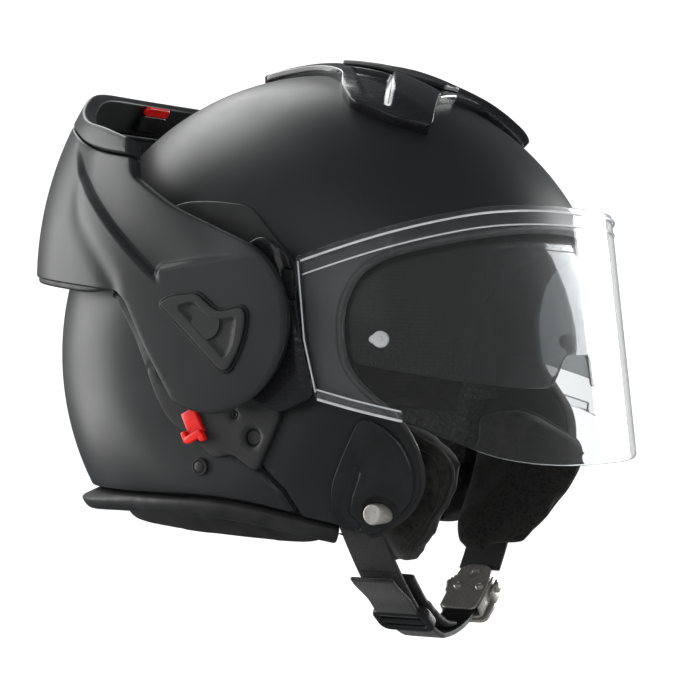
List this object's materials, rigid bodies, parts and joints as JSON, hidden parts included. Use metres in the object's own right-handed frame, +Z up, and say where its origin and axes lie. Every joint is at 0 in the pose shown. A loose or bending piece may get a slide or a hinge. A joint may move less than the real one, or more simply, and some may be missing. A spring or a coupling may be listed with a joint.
{
  "type": "flip-over open face motorcycle helmet",
  "caption": "Flip-over helmet with its chin bar swung to the back: shell, clear and tinted visors, vents, padding and a ratchet chin strap.",
  "frame": {"origin": "halfway between the two side pivots, inside the head space", "axes": "+X forwards out of the face opening, +Y to the wearer's left along the pivots, +Z up to the crown"},
  "size_m": [0.3116, 0.2682, 0.3001],
  "materials": {
    "shell_paint": "matt black satin lacquer",
    "foam": "moulded expanded foam",
    "lining_fabric": "brushed knit fabric",
    "pad_fabric": "soft suede-like fabric",
    "trim_rubber": "satin rubber",
    "black_plastic": "fine-grained moulded plastic",
    "gloss_plastic": "polished black plastic",
    "clear_lens": "clear polycarbonate",
    "smoke_lens": "smoke tinted polycarbonate",
    "red_plastic": "red moulded plastic",
    "steel": "stamped and polished steel",
    "webbing": "woven polyester webbing"
  },
  "bodies": {
    "helmet": {"outer_shell": "shell_paint", "impact_liner": "foam", "crown_lining": "lining_fabric", "cheek_pad_right": "pad_fabric", "cheek_pad_left": "pad_fabric", "neck_roll": "pad_fabric", "rim_trim": "trim_rubber", "face_seal": "trim_rubber", "side_plate_right": "black_plastic", "side_plate_left": "black_plastic", "vent_scoop": "gloss_plastic", "rear_vent": "black_plastic", "latch_plate_right": "gloss_plastic", "latch_plate_left": "gloss_plastic", "latch_pins": "steel", "side_plugs": "black_plastic", "plate_screws": "black_plastic", "sun_visor_pivots": "black_plastic", "pivot_screws": "steel", "strap_right": "webbing", "strap_left": "webbing", "strap_anchors": "steel", "strap_adjuster": "black_plastic", "strap_pad": "pad_fabric", "ratchet_tongue": "black_plastic", "ratchet_body": "steel", "ratchet_pin": "steel"},
    "visor": {"visor_lens": "clear_lens", "visor_bracket_right": "black_plastic", "visor_bracket_left": "black_plastic", "visor_catch_right": "black_plastic", "visor_catch_left": "black_plastic", "insert_pins": "steel"},
    "sun_visor": {"sun_visor": "smoke_lens"},
    "sun_visor_lever": {"sun_visor_lever": "red_plastic"},
    "vent_shutter": {"vent_shutter": "shell_paint"},
    "chin_bar": {"chin_bar": "shell_paint", "chin_bar_trim": "shell_paint", "chin_bar_lining": "lining_fabric", "chin_bar_seal": "trim_rubber", "pivot_cover_right": "black_plastic", "pivot_cover_left": "black_plastic"},
    "chin_vent": {"chin_vent_slider": "black_plastic"},
    "release_button": {"chin_release_button": "red_plastic"},
    "ratchet_lever": {"ratchet_lever": "steel"}
  },
  "joints": [
    {"name": "chin_bar_swing", "type": "hinge", "parent": "helmet", "child": "chin_bar", "pos_m": [0, 0, 0], "axis": [0, 1, 0], "range_deg": [0, 168]},
    {"name": "visor_swing", "type": "hinge", "parent": "helmet", "child": "visor", "pos_m": [0, 0, 0], "axis": [0, -1, 0], "range_deg": [0, 55]},
    {"name": "sun_visor_swing", "type": "hinge", "parent": "helmet", "child": "sun_visor", "pos_m": [-0.006, 0, -0.015], "axis": [0, -1, 0], "range_deg": [0, 38]},
    {"name": "sun_lever_slide", "type": "slide", "parent": "helmet", "child": "sun_visor_lever", "axis": [-0.4226, 0, 0.9063], "range_m": [0, 0.014]},
    {"name": "vent_shutter_slide", "type": "hinge", "parent": "helmet", "child": "vent_shutter", "pos_m": [-0.006, 0, -0.015], "axis": [0, -1, 0], "range_deg": [0, 3.2]},
    {"name": "chin_vent_slide", "type": "hinge", "parent": "chin_bar", "child": "chin_vent", "pos_m": [0.012, 0, 0.022], "axis": [0, 1, 0], "range_deg": [0, 2.6]},
    {"name": "release_press", "type": "slide", "parent": "chin_bar", "child": "release_button", "axis": [0, 0, -1], "range_m": [0, 0.003], "stiffness_N_per_m": 300},
    {"name": "ratchet_open", "type": "hinge", "parent": "helmet", "child": "ratchet_lever", "pos_m": [0.05, 0.05108, -0.13937], "axis": [1, 0, 0], "range_deg": [0, 50], "stiffness_Nm_per_rad": 0.02, "springref_deg": -11.46}
  ],
  "couplings": [
    {"joint": "sun_lever_slide", "follows": "sun_visor_swing", "m_per_rad": 0.020958}
  ]
}
